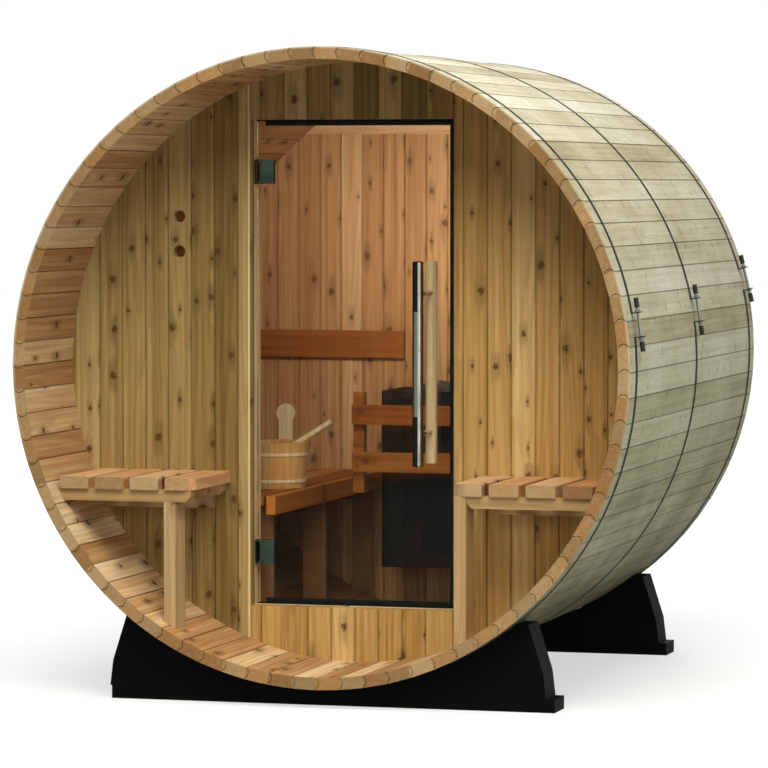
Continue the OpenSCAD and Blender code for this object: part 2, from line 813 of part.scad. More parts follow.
stave_group(270);  // staves_bottom
stave_group(315);  // staves_lower_right
stave_group(0);  // staves_right
stave_group(45);  // staves_upper_right
stave_group(90);  // staves_top
stave_group(135);  // staves_upper_left
stave_group(180);  // staves_left
stave_group(225);  // staves_lower_left
band(0);  // front_band
band(1);  // middle_band
band(2);  // rear_band
band_tension_rods();
tension_rod_caps();
front_wall_left();
front_wall_right();
front_wall_head();
front_wall_sill();
back_wall();
back_wall_header();
door_frame();
door_seal();
frame_hinge_leaves();
door_hinge_leaves();
door_glass();
outer_handle();
inner_handle();
porch_slats(-1);  // left_porch_slats
porch_bearers(-1, -porch_seat_x - bearer_inset);  // left_porch_bearers
porch_post(left_post_x, slat_under_z - bearer);  // left_porch_post
porch_slats(1);  // right_porch_slats
porch_bearers(1, -right_post_x - post_w - seat);  // right_porch_bearers
porch_post(right_post_x, slat_under_z);  // right_porch_post
bench_seat(-1);  // left_bench_seat
bench_frame(-1);  // left_bench_frame
bench_seat(1);  // right_bench_seat
bench_frame(1);  // right_bench_frame
backrests();
heater();
heater_stones();
heater_guard();
bucket();
ladle();
cradle(cradle_ys[0]);  // front_cradle
cradle(cradle_ys[1]);  // rear_cradle
cradle_skids();
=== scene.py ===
"""Looks of the barrel sauna: cedar, steel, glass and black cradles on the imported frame. Metres."""

import json
import math
import random
from collections import namedtuple

import bmesh
import bpy
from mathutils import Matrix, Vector, noise


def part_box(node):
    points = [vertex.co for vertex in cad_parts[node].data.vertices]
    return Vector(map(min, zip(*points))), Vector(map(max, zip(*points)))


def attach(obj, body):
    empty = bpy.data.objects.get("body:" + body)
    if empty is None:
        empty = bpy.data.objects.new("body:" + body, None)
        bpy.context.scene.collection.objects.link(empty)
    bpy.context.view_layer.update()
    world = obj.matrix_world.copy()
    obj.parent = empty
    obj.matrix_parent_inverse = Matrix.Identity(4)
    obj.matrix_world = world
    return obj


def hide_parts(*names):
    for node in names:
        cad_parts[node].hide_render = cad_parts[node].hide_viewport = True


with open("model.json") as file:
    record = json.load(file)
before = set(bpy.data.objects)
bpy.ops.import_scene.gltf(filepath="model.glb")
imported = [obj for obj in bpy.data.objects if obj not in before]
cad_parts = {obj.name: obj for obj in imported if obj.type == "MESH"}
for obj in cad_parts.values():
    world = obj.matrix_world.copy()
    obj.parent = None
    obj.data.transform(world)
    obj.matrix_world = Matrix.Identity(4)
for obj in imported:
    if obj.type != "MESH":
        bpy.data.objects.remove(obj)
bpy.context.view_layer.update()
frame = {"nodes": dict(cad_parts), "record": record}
nodes = frame["nodes"]

# Sizes of the barrel
STAVES = 80
STAVE_T = 0.035
OUT_R = 0.9145
BEAD_R = 0.016
BEAD_SETBACK = 0.007
MID_R = OUT_R - STAVE_T / 2
STAVE_TURN = math.tau / STAVES
right_low, right_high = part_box("staves_right")
AXIS_Z = (right_low.z + right_high.z) / 2
CABIN_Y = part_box("front_wall_left")[1].y
BACK_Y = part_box("back_wall")[0].y

# Boards of the walls and slats of the benches
BOARD_W = 0.072
RIGHT_STRIP = 0.030
mounts = {mount["name"]: mount for mount in frame["record"]["mounts"]}
LEFT_JOINT_X = mounts["vent_lower"]["pos_m"][0] + BOARD_W / 2
RIGHT_JOINT_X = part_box("front_wall_right")[0].x + RIGHT_STRIP
PORCH_SLAT_PITCH = 0.107
PORCH_SLAT_GAP = 0.022
CABIN_SLAT_PITCH = 0.091
CABIN_SLAT_GAP = 0.010
SEAT_EDGE_W = 0.028
EASED_EDGE = 0.002
BUCKET_STAVES = 18
BUCKET_STAVE_W = 0.035
BUCKET_H = 0.140
BUCKET_RIM_R = 0.100
BUCKET_FOOT_R = 0.086

# Outer handle: half of its plain middle, and the width of its side painted dark as a painted reflection
HANDLE_PLAIN = 0.153
HANDLE_PAINTED_DARK_W = 0.019

# Screws of the heater guard and the header, and the heap of stones
GUARD_POST_W = 0.035
GUARD_RAIL_ZS = 0.6165, 0.7665
SCREW_STEP = 0.014
HEADER_SCREW_XS = -0.33, -0.11, 0.11, 0.33
ROCK_SPREAD = 0.76
ROCK_STEP_IN = 0.2
ROCK_BED = 0.052
ROCK_LAYER = 0.022

# Camera of the photograph
CAMERA_PLACE = (3.4426, -12.3622, 1.5007)
CAMERA_YAW = 15.80
CAMERA_PITCH = -2.741
CAMERA_LENS = 197.52

Board = namedtuple("Board", "along across depth index")


def srgb(red, green, blue):
    """A display colour from 0 to 255 as the linear colour that shaders take."""
    def linear(value):
        value /= 255
        return value / 12.92 if value <= 0.04045 else ((value + 0.055) / 1.055) ** 2.4
    return linear(red), linear(green), linear(blue), 1.0


class Shader:
    """A material's node tree with short calls for the nodes that this scene uses."""

    def __init__(self, name):
        self.material = bpy.data.materials.new(name)
        self.material.use_nodes = True
        self.tree = self.material.node_tree
        self.bsdf = self.tree.nodes["Principled BSDF"]
        self.coords = None
        self.faces = None

    def add(self, kind, *values, **settings):
        node = self.tree.nodes.new("ShaderNode" + kind)
        for key, value in settings.items():
            setattr(node, key, value)
        for socket, value in zip(node.inputs, values):
            self.put(socket, value)
        return node

    def put(self, socket, value):
        if value is None:
            return
        if isinstance(value, bpy.types.NodeSocket):
            self.tree.links.new(value, socket)
        else:
            socket.default_value = value

    def set(self, **inputs):
        """Principled inputs by name, with the spaces as underscores."""
        for key, value in inputs.items():
            self.put(self.bsdf.inputs[key.replace("_", " ")], value)

    def math(self, operation, a, b=None, c=None):
        return self.add("Math", a, b, c, operation=operation).outputs[0]

    def place(self):
        """x, y and z of a point on the piece, in the frame at rest."""
        if self.coords is None:
            here = self.add("TexCoord").outputs["Object"]
            self.coords = self.add("SeparateXYZ", here).outputs[:]
        return self.coords

    def facing(self):
        """x, y and z of the way that the surface faces."""
        if self.faces is None:
            turned = self.add("NewGeometry").outputs["True Normal"]
            here = self.add("VectorTransform", turned, vector_type="NORMAL", convert_from="WORLD",
                            convert_to="OBJECT")
            self.faces = self.add("SeparateXYZ", here.outputs[0]).outputs[:]
        return self.faces

    def vector(self, x, y, z):
        return self.add("CombineXYZ", x, y, z).outputs[0]

    def length(self, x, y):
        return self.add("VectorMath", self.vector(x, y, 0.0), operation="LENGTH").outputs["Value"]

    def noise(self, spot, scale, detail=2.0, roughness=0.55):
        stretched = self.add("VectorMath", spot, scale, operation="MULTIPLY").outputs[0]
        node = self.add("TexNoise", noise_dimensions="3D")
        self.put(node.inputs["Vector"], stretched)
        for key, value in (("Scale", 1.0), ("Detail", detail), ("Roughness", roughness)):
            node.inputs[key].default_value = value
        return node.outputs[0]

    def chances(self, index, seed):
        """Three random numbers for each index."""
        node = self.add("TexWhiteNoise", noise_dimensions="1D")
        self.put(node.inputs["W"], self.math("ADD", index, seed))
        return self.add("SeparateColor", node.outputs["Color"]).outputs[:]

    def rise(self, value, start, end, low=0.0, high=1.0):
        """From low before start to high after end, with soft turns."""
        node = self.add("MapRange", value, start, end, low, high, interpolation_type="SMOOTHSTEP")
        return node.outputs[0]

    def mix(self, factor, a, b, blend="MIX"):
        node = self.add("Mix", data_type="RGBA", blend_type=blend)
        self.put(node.inputs[0], factor)
        self.put(node.inputs[6], a)
        self.put(node.inputs[7], b)
        return node.outputs[2]

    def dim(self, colour, shade):
        grey = self.add("CombineColor", shade, shade, shade).outputs[0]
        return self.mix(1.0, colour, grey, "MULTIPLY")

    def ramp(self, factor, *tones):
        """Even steps through display colours."""
        node = self.add("ValToRGB", factor)
        spots = node.color_ramp.elements
        while len(spots) < len(tones):
            spots.new(1.0)
        for i, tone in enumerate(tones):
            spots[i].position = i / (len(tones) - 1)
            spots[i].color = srgb(*tone)
        return node.outputs[0]

    def bump(self, height, strength, distance):
        node = self.add("Bump")
        node.inputs["Strength"].default_value = strength
        node.inputs["Distance"].default_value = distance
        self.put(node.inputs["Height"], height)
        self.put(self.bsdf.inputs["Normal"], node.outputs[0])


# Where the boards lie: each layout gives places along, across and into a board, and its number
def stave_layout(s):
    x, y, z = s.place()
    up = s.math("SUBTRACT", z, AXIS_Z)
    turns = s.math("DIVIDE", s.math("ARCTAN2", up, x), STAVE_TURN)
    turn = s.math("MULTIPLY", s.math("SUBTRACT", s.math("FRACT", turns), 0.5), STAVE_TURN)
    radius = s.length(x, up)
    across = s.math("MULTIPLY", radius, s.math("SINE", turn))
    depth = s.math("SUBTRACT", s.math("MULTIPLY", radius, s.math("COSINE", turn)), MID_R)
    return Board(y, across, depth, s.math("FLOOR", turns))


def plank_layout(along, across, depth, count, start, pitch, level=0.0):
    """Planks along one axis, one at every pitch along the axis named count, with middle depth at level."""
    def layout(s):
        place = dict(zip("xyz", s.place()))
        steps = s.math("DIVIDE", s.math("SUBTRACT", place[count], start), pitch)
        beside = place[across]
        if across == count:
            beside = s.math("MULTIPLY", s.math("SUBTRACT", s.math("FRACT", steps), 0.5), pitch)
        return Board(place[along], beside, s.math("SUBTRACT", place[depth], level), s.math("FLOOR", steps))
    return layout


def uprights(start, pitch=BOARD_W):
    return plank_layout("z", "x", "y", "x", start, pitch)


# Posts, jambs and grips are each one board, so the pitch is wider than any of them
single_board = uprights(-0.05, pitch=0.5)


def bucket_layout(s):
    low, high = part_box("bucket")
    x, y, z = s.place()
    x = s.math("SUBTRACT", x, (low.x + high.x) / 2)
    y = s.math("SUBTRACT", y, (low.y + high.y) / 2)
    turns = s.math("MULTIPLY", s.math("ARCTAN2", y, x), BUCKET_STAVES / math.tau)
    across = s.math("MULTIPLY", s.math("FRACT", turns), BUCKET_STAVE_W)
    return Board(z, across, s.length(x, y), s.math("FLOOR", turns))


def marks(s, u, v, cell, half, share, lean=0.0):
    """Scattered marks, at most one in a cell: the distance from it in both ways, and if it is there."""
    cell_u, cell_v = cell
    where = s.vector(s.math("DIVIDE", u, cell_u), s.math("DIVIDE", v, cell_v), 0.0)
    node = s.add("TexVoronoi", voronoi_dimensions="2D")
    s.put(node.inputs["Vector"], where)
    node.inputs["Scale"].default_value = 1.0
    node.inputs["Randomness"].default_value = 0.8
    away = s.add("VectorMath", where, node.outputs["Position"], operation="SUBTRACT").outputs[0]
    away_u, away_v, _ = s.add("SeparateXYZ", away).outputs
    first, second, third = s.add("SeparateColor", node.outputs["Color"]).outputs
    slope = s.math("MULTIPLY", s.math("SUBTRACT", third, 0.5), lean)
    away_v = s.math("MULTIPLY_ADD", away_u, slope, away_v)
    size = s.rise(second, 0.0, 1.0, 0.45, 1.3)
    reach_u = s.math("DIVIDE", s.math("MULTIPLY", away_u, cell_u / half[0]), size)
    reach_v = s.math("DIVIDE", s.math("MULTIPLY", away_v, cell_v / half[1]), size)
    return reach_u, reach_v, s.math("LESS_THAN", first, share)


class Wood:
    """Cedar whose boards each have their own tone, rings, fibres and knots."""

    def __init__(self, name, layout, seed, knots=0.5):
        self.s = s = Shader(name)
        self.board = layout(s)
        self.tone, self.shift, shift_v = s.chances(self.board.index, seed)
        self.u = s.math("MULTIPLY_ADD", self.shift, 9.1, self.board.across)
        self.v = s.math("MULTIPLY_ADD", shift_v, 17.3, self.board.along)
        self.spot = s.vector(self.u, self.v, self.board.depth)
        self.streak = s.noise(self.spot, (75.0, 1.3, 75.0), detail=3.0)
        self.fibre = s.noise(self.spot, (620.0, 13.0, 620.0))
        blot = s.noise(self.spot, (150.0, 110.0, 150.0))
        reach_u, reach_v, there = marks(s, self.u, self.v, (0.062, 0.15), (0.011, 0.014), knots)
        ragged = s.math("MULTIPLY_ADD", s.math("SUBTRACT", blot, 0.5), 1.3, s.length(reach_u, reach_v))
        self.knot = s.math("MULTIPLY", s.rise(ragged, 0.4, 1.0, 1.0, 0.0), there)
        tail = s.length(s.math("MULTIPLY", reach_u, 0.5), s.math("MULTIPLY", reach_v, 0.2))
        self.halo = s.math("MULTIPLY", s.rise(tail, 0.2, 1.0, 1.0, 0.0), there)
        sweep = s.noise(self.spot, (8.0, 0.7, 8.0))
        rings = s.math("MULTIPLY_ADD", sweep, 8.0, s.math("MULTIPLY", self.u, 38.0))
        saw = s.math("FRACT", s.math("MULTIPLY_ADD", self.halo, 0.5, rings))
        self.late = s.math("MULTIPLY", s.rise(saw, 0.2, 0.9), s.rise(saw, 0.9, 1.0, 1.0, 0.0))

    def colour(self, *tones):
        s = self.s
        drift = s.math("SUBTRACT", self.streak, 0.5)
        blend = s.math("MULTIPLY_ADD", drift, 1.1, s.math("MULTIPLY_ADD", self.tone, 0.8, 0.1))
        colour = s.ramp(blend, *tones)
        shade = s.rise(self.late, 0.0, 1.0, 1.03, 0.88)
        shade = s.math("MULTIPLY", shade, s.rise(self.fibre, 0.3, 0.7, 0.92, 1.05))
        shade = s.math("MULTIPLY", shade, s.rise(self.halo, 0.0, 1.0, 1.0, 0.72))
        return s.mix(s.math("MULTIPLY", self.knot, 0.86), s.dim(colour, shade), srgb(80, 44, 17))

    def grooves(self, colour, across, shade):
        """Dust and shade on the chamfers between boards, which face half across."""
        s = self.s
        lean = s.math("ABSOLUTE", across)
        chamfer = s.math("MULTIPLY", s.rise(lean, 0.35, 0.55), s.rise(lean, 0.85, 0.95, 1.0, 0.0))
        return s.dim(colour, s.rise(chamfer, 0.0, 1.0, 1.0, shade))

    def end_grain(self, colour, facing):
        """Growth rings on the sawn ends, round a pith near the board."""
        s = self.s
        pith_u = s.math("MULTIPLY_ADD", self.tone, 0.09, s.math("SUBTRACT", self.board.across, 0.045))
        pith_w = s.math("MULTIPLY_ADD", self.shift, 0.07, s.math("SUBTRACT", self.board.depth, 0.01))
        wobble = s.noise(s.vector(self.board.across, self.board.depth, self.tone), (70.0, 70.0, 9.0))
        rings = s.math("MULTIPLY_ADD", wobble, 2.2, s.math("MULTIPLY", s.length(pith_u, pith_w), 210.0))
        ring = s.math("FRACT", rings)
        tan = s.ramp(ring, (174, 130, 82), (152, 112, 68), (120, 84, 48))
        cream = s.ramp(ring, (190, 166, 126), (168, 142, 102), (134, 108, 72))
        patchy = s.math("MULTIPLY_ADD", s.math("SUBTRACT", wobble, 0.5), 1.6, self.tone)
        ends = s.mix(s.rise(patchy, -0.2, 1.2), tan, cream)
        ends = s.dim(ends, s.rise(self.shift, 0.0, 1.0, 0.75, 1.1))
        return s.mix(s.rise(s.math("ABSOLUTE", facing), 0.6, 0.85), colour, ends)

    def finish(self, colour, gloss=0.62, shine=0.15):
        s = self.s
        s.set(Base_Color=colour, Specular_IOR_Level=shine)
        s.set(Roughness=s.rise(self.late, 0.0, 1.0, gloss, gloss - 0.1))
        height = s.math("MULTIPLY_ADD", self.fibre, 0.7, s.math("MULTIPLY", self.late, -0.3))
        s.bump(s.math("MULTIPLY_ADD", self.knot, -0.5, height), 0.3, 0.0012)
        return s.material


# Tones of the woods, from dark to light
PORCH_TONES = (146, 104, 62), (172, 134, 90), (194, 162, 118), (212, 188, 150)
# Left wall, head and jamb fronts: the same cedar painted darker and olive, as painted shade
SHADED_LEFT_TONES = (106, 82, 38), (134, 108, 60), (158, 132, 80), (178, 154, 104)
RIGHT_TONES = (150, 110, 54), (176, 138, 78), (196, 160, 100), (212, 182, 126)
CABIN_TONES = (146, 94, 50), (172, 122, 76), (190, 144, 98), (204, 164, 120)
BENCH_TONES = (126, 64, 16), (154, 88, 28), (178, 112, 46)
SLAT_TONES = (176, 122, 74), (196, 148, 100), (214, 174, 130)
POST_TONES = (152, 120, 76), (170, 138, 92), (186, 156, 112)
# Bench frames: cedar painted dark, as painted shade under the benches
SHADED_FRAME_TONES = (92, 56, 26), (112, 72, 36), (130, 88, 48)
GRIP_TONES = (222, 190, 142), (236, 208, 164), (246, 226, 190)
BUCKET_TONES = (202, 140, 74), (214, 160, 96), (226, 182, 120)
GREY_TONES = (152, 142, 112), (178, 169, 138), (198, 192, 166), (214, 210, 190)
GREEN_TONES = (149, 147, 115), (174, 174, 140), (195, 196, 164), (212, 212, 184)


def stave_wood():
    """Staves: weathered outside, honey in the porch, reddish in the cabin, with ring-marked ends."""
    wood = Wood("stave_cedar", stave_layout, 3.0, knots=0.3)
    s = wood.s
    x, y, z = s.place()
    cabin = s.rise(y, CABIN_Y - 0.01, CABIN_Y)
    cabin = s.math("MULTIPLY", cabin, s.rise(y, BACK_Y, BACK_Y + 0.01, 1.0, 0.0))
    # The porch's floor staves are painted up to 1.25 times lighter at the bottom, as painted light on the
    # surfaces that face up.
    painted_floor_light = s.rise(z, AXIS_Z - 0.85, AXIS_Z - 0.5, 1.25, 1.0)
    # The cabin's floor staves are painted darker, down to 0.6 at the bottom, as painted shade where little
    # light reaches.
    painted_cabin_floor_shade = s.rise(z, AXIS_Z - 0.75, AXIS_Z - 0.35, 0.6, 1.0)
    porch_side = s.dim(wood.colour(*PORCH_TONES), painted_floor_light)
    inside = s.mix(cabin, porch_side, s.dim(wood.colour(*CABIN_TONES), painted_cabin_floor_shade))
    stain = s.noise(s.vector(x, y, z), (5.0, 3.0, 5.0), detail=4.0)
    drift = s.math("SUBTRACT", wood.streak, 0.5)
    drift = s.math("MULTIPLY_ADD", drift, 0.8, s.math("SUBTRACT", stain, 0.5))
    blend = s.math("ADD", drift, s.math("MULTIPLY_ADD", wood.tone, 0.5, 0.25))
    level = s.math("MULTIPLY_ADD", wood.shift, 0.5, z)
    green = s.rise(level, AXIS_Z + 0.1, AXIS_Z + 0.6, 1.0, 0.0)
    outside = s.mix(green, s.ramp(blend, *GREY_TONES), s.ramp(blend, *GREEN_TONES))
    # The outside staves turn darker and olive towards the bottom.
    darker_towards_bottom = s.rise(s.math("MULTIPLY_ADD", stain, 0.3, z), AXIS_Z - 0.68, AXIS_Z - 0.12, 0.88, 0.0)
    outside = s.mix(darker_towards_bottom, outside, srgb(72, 70, 42))
    outside = s.dim(outside, s.rise(wood.fibre, 0.3, 0.7, 0.88, 1.05))
    reach_u, reach_v, there = marks(s, wood.u, wood.v, (0.034, 0.1), (0.014, 0.0042), 0.4, lean=0.4)
    spike = s.math("MULTIPLY", s.rise(s.length(reach_u, reach_v), 0.3, 1.25, 1.0, 0.0), there)
    outside = s.mix(s.math("MULTIPLY", spike, 0.7), outside, srgb(92, 74, 44))
    colour = s.mix(s.rise(wood.board.depth, -0.004, 0.012), inside, outside)

    face_x, face_y, face_z = s.facing()
    up = s.math("SUBTRACT", z, AXIS_Z)
    sideways = s.math("SUBTRACT", s.math("MULTIPLY", face_z, x), s.math("MULTIPLY", face_x, up))
    colour = wood.grooves(colour, s.math("DIVIDE", sideways, s.length(x, up)), 0.62)
    colour = wood.end_grain(colour, face_y)
    end_face = s.math("ABSOLUTE", face_y)
    bleached = s.math("MULTIPLY", s.rise(wood.board.depth, 0.009, 0.015, 0.0, 0.6), end_face)
    bleached = s.math("MULTIPLY", bleached, s.rise(z, AXIS_Z - 0.4, AXIS_Z + 0.3))
    colour = s.mix(bleached, colour, srgb(204, 196, 166))
    bead_across = -MID_R * math.tan(STAVE_TURN / 2) - BEAD_SETBACK
    from_bead = s.length(s.math("SUBTRACT", wood.board.across, bead_across), wood.board.depth)
    line = s.math("ABSOLUTE", s.math("SUBTRACT", from_bead, BEAD_R))
    joint = s.math("MULTIPLY", s.rise(line, 0.0007, 0.002, 1.0, 0.0), s.rise(end_face, 0.6, 0.8))
    return wood.finish(s.dim(colour, s.rise(joint, 0.0, 1.0, 1.0, 0.3)), gloss=0.8, shine=0.05)


def board_wood(name, layout, seed, tones, knots=0.5, grooves=None, ends=None, gloss=0.62):
    wood = Wood(name, layout, seed, knots)
    colour = wood.colour(*tones)
    facing = dict(zip("xyz", wood.s.facing()))
    if grooves:
        colour = wood.grooves(colour, facing[grooves], 0.82)
    if ends:
        colour = wood.end_grain(colour, facing[ends])
    return wood.finish(colour, gloss)


def left_wall_wood():
    """Olive boards, painted darker as painted shade, with a painted highlight as a pale line along the
    doorway edge.
    """
    wood = Wood("wall_left_cedar", uprights(LEFT_JOINT_X), 11.0, 0.6)
    s = wood.s
    colour = wood.grooves(wood.colour(*SHADED_LEFT_TONES), s.facing()[0], 0.82)
    # A 4 mm pale line on the front face at the doorway edge is a painted highlight, where that edge
    # catches the light.
    to_door = s.math("SUBTRACT", s.place()[0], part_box("front_wall_left")[1].x)
    painted_edge_highlight = s.math("MULTIPLY", s.rise(to_door, -0.006, -0.004), s.rise(s.facing()[1], -0.8, -0.3, 1.0, 0.0))
    painted_edge_highlight = s.math("MULTIPLY", painted_edge_highlight, s.rise(to_door, 0.0005, 0.001, 1.0, 0.0))
    return wood.finish(s.mix(s.math("MULTIPLY", painted_edge_highlight, 0.8), colour, srgb(226, 204, 152)))


def back_wall_wood():
    """Boards that are reddish in the cabin and tan outside."""
    wood = Wood("back_wall_cedar", uprights(0.0), 31.0, 0.65)
    s = wood.s
    low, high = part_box("back_wall")
    middle = (low.y + high.y) / 2
    outer = s.rise(s.place()[1], middle, middle + 0.001)
    colour = s.mix(outer, wood.colour(*CABIN_TONES), wood.colour(*RIGHT_TONES))
    return wood.finish(wood.grooves(colour, s.facing()[0], 0.82))


def bucket_wood():
    """Bucket staves with pale hoops and a pale grip."""
    wood = Wood("bucket_wood", bucket_layout, 37.0, 0.0)
    s = wood.s
    up = s.math("SUBTRACT", s.place()[2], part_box("bucket")[0].z)
    wall = s.math("MULTIPLY_ADD", up, (BUCKET_RIM_R - BUCKET_FOOT_R) / BUCKET_H, BUCKET_FOOT_R)
    hoop = s.rise(s.math("SUBTRACT", wood.board.depth, wall), 0.0005, 0.001)
    pale = s.math("MAXIMUM", hoop, s.rise(up, BUCKET_H, BUCKET_H + 0.004))
    return wood.finish(s.mix(pale, wood.colour(*BUCKET_TONES), wood.colour(*GRIP_TONES)), gloss=0.5)


def door_frame_wood():
    """Jambs painted as shaded and lit copies: olive in front as painted shade, pale behind as painted
    light.
    """
    wood = Wood("door_frame_cedar", single_board, 5.0, 0.2)
    s = wood.s
    low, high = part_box("door_frame")
    depth = high.y - low.y
    # The part behind is painted pale as painted light; the front keeps the olive painted shade.
    painted_light_behind = s.rise(s.place()[1], low.y + 0.1 * depth, low.y + 0.14 * depth)
    return wood.finish(s.mix(painted_light_behind, wood.colour(*SHADED_LEFT_TONES), wood.colour(*GRIP_TONES)))


def metal(name, tone, roughness):
    """Metal with smudges and fine brushing."""
    s = Shader(name)
    here = s.vector(*s.place())
    smudge = s.noise(here, (11.0, 11.0, 11.0), detail=5.0)
    brush = s.noise(here, (60.0, 60.0, 900.0))
    dull = srgb(*[channel * 0.72 for channel in tone])
    s.set(Base_Color=s.mix(s.rise(smudge, 0.4, 0.75), srgb(*tone), dull), Metallic=1.0)
    brushed = s.math("MULTIPLY_ADD", brush, 0.06, roughness - 0.1)
    s.set(Roughness=s.math("MULTIPLY_ADD", smudge, 0.2, brushed))
    s.bump(brush, 0.08, 0.0003)
    return s


def moulded(name, tone, roughness, shine=0.1):
    """Dark paint, plastic, rubber or stone with a fine grain and some dust."""
    s = Shader(name)
    here = s.vector(*s.place())
    grain = s.noise(here, (600.0, 600.0, 600.0))
    dust = s.noise(here, (7.0, 7.0, 7.0), detail=6.0)
    dusty = srgb(*[channel + 5 for channel in tone])
    s.set(Base_Color=s.mix(s.rise(dust, 0.45, 0.8), srgb(*tone), dusty))
    s.set(Specular_IOR_Level=shine, Roughness=s.math("MULTIPLY_ADD", dust, 0.2, roughness))
    s.bump(grain, 0.2, 0.0004)
    return s.material


def handle_steel():
    """Polished steel with a painted dark reflection down its left side: duller steel there, and black at
    both ends, where the black grip strips are.
    """
    s = metal("handle_chrome", (168, 168, 158), 0.16)
    low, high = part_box("outer_handle")
    x, _, z = s.place()
    # left: the side painted dark, as a painted reflection of dark surroundings
    left = s.rise(x, low.x + HANDLE_PAINTED_DARK_W, low.x + HANDLE_PAINTED_DARK_W + 0.001, 1.0, 0.0)
    from_middle = s.math("ABSOLUTE", s.math("SUBTRACT", z, (low.z + high.z) / 2))
    grip_strip_and_painted_dark = s.math("MULTIPLY", s.rise(from_middle, HANDLE_PLAIN, HANDLE_PLAIN + 0.001), left)
    polished = s.bsdf.inputs["Base Color"].links[0].from_socket
    steel = s.mix(left, polished, srgb(104, 110, 102))
    s.set(Base_Color=s.mix(grip_strip_and_painted_dark, steel, srgb(14, 15, 14)), Metallic=s.math("SUBTRACT", 1.0, grip_strip_and_painted_dark),
          Specular_IOR_Level=0.1)
    return s.material


def clear_glass():
    """Clear pane with green edges: most light goes straight through, with faint smears on the surface."""
    s = Shader("door_glass")
    smear = s.noise(s.vector(*s.place()), (6.0, 6.0, 2.0), detail=6.0)
    edge = s.rise(s.math("ABSOLUTE", s.facing()[1]), 0.5, 0.7, 1.0, 0.0)
    s.set(Base_Color=s.mix(edge, (0.94, 0.96, 0.94, 1.0), srgb(112, 146, 112)), IOR=1.45)
    s.set(Roughness=s.rise(smear, 0.5, 0.8, 0.0, 0.03))
    s.set(Transmission_Weight=1.0)
    straight = s.add("BsdfTransparent", (0.97, 0.98, 0.96, 1.0))
    pane = s.add("MixShader", s.rise(edge, 0.0, 1.0, 0.94, 0.3))
    s.put(pane.inputs[1], s.bsdf.outputs[0])
    s.put(pane.inputs[2], straight.outputs[0])
    s.put(s.tree.nodes["Material Output"].inputs["Surface"], pane.outputs[0])
    return s.material


def paint(material, *names):
    for name in names:
        slots = nodes[name].data.materials
        slots.clear()
        slots.append(material)


paint(stave_wood(), *[name for name in nodes if name.startswith("staves_")])
paint(left_wall_wood(), "front_wall_left", "front_wall_head")
paint(board_wood("wall_sill_cedar", uprights(LEFT_JOINT_X), 19.0, RIGHT_TONES, 0.3, grooves="x"),
      "front_wall_sill")
paint(board_wood("wall_right_cedar", uprights(RIGHT_JOINT_X), 23.0, RIGHT_TONES, 0.6, grooves="x"),
      "front_wall_right")
paint(back_wall_wood(), "back_wall")
paint(door_frame_wood(), "door_frame")
paint(board_wood("post_cedar", single_board, 7.0, POST_TONES, 0.1), "left_porch_post", "right_porch_post")
for side, seed in (("left", 13.0), ("right", 15.0)):
    low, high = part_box(side + "_porch_slats")
    first = low.x - PORCH_SLAT_GAP / 2
    slats = plank_layout("y", "x", "z", "x", first, PORCH_SLAT_PITCH, (low.z + high.z) / 2)
    paint(board_wood(side + "_porch_slat_cedar", slats, seed, SLAT_TONES, 0.15, ends="y"),
          side + "_porch_slats")
    low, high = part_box(side + "_bench_seat")
    edge = SEAT_EDGE_W + CABIN_SLAT_GAP / 2
    inner = high.x - edge if side == "left" else low.x + edge
    seats = plank_layout("y", "x", "z", "x", inner, CABIN_SLAT_PITCH, high.z)
    paint(board_wood(side + "_bench_cedar", seats, seed + 6, BENCH_TONES, 0.15), side + "_bench_seat")
bearers = plank_layout("x", "z", "y", "y", start=-0.8, pitch=0.1)
paint(board_wood("porch_bearer_cedar", bearers, 17.0, POST_TONES, 0.1, ends="x"),
      "left_porch_bearers", "right_porch_bearers")
rails = plank_layout("x", "z", "y", "z", start=0.06, pitch=0.15)
paint(board_wood("guard_cedar", rails, 29.0, BENCH_TONES, 0.1, ends="x"), "heater_guard")
paint(board_wood("bench_frame_cedar", rails, 53.0, SHADED_FRAME_TONES, 0.1, ends="x"),
      "left_bench_frame", "right_bench_frame")
backs = plank_layout("x", "z", "y", "z", start=0.8, pitch=0.5)
paint(board_wood("backrest_cedar", backs, 41.0, BENCH_TONES, 0.1), "backrests")
header = plank_layout("x", "z", "y", "z", start=1.5, pitch=0.5)
paint(board_wood("header_cedar", header, 43.0, CABIN_TONES, 0.1), "back_wall_header")
paint(board_wood("grip_wood", single_board, 47.0, GRIP_TONES, 0.0, gloss=0.45), "inner_handle", "ladle")
paint(bucket_wood(), "bucket")
paint(moulded("band_steel", (30, 40, 33), 0.55, shine=0.06), "front_band", "middle_band", "rear_band")
paint(metal("rod_steel", (126, 130, 126), 0.4).material, "band_tension_rods")
paint(metal("hinge_steel", (60, 72, 62), 0.32).material, "frame_hinge_leaves", "door_hinge_leaves")
paint(handle_steel(), "outer_handle")
paint(moulded("heater_case", (14, 13, 12), 0.55), "heater")
paint(moulded("cradle_black", (2, 4, 2), 0.6, shine=0.05), "front_cradle", "rear_cradle", "cradle_skids")
paint(moulded("cap_black", (8, 8, 8), 0.45, shine=0.3), "tension_rod_caps")
paint(moulded("seal_black", (7, 7, 7), 0.6), "door_seal")
paint(clear_glass(), "door_glass")


def ease(*names):
    """Eased edges on sawn timber."""
    for name in names:
        modifier = nodes[name].modifiers.new("eased_edges", "BEVEL")
        modifier.width = EASED_EDGE
        modifier.segments = 2
        modifier.limit_method = "ANGLE"
        modifier.angle_limit = math.radians(50)


def smooth(*names):
    """Round faces shade as one, with the true edges kept."""
    for name in names:
        mesh = nodes[name].data
        mesh.shade_smooth()
        mesh.set_sharp_from_angle(angle=math.radians(35))


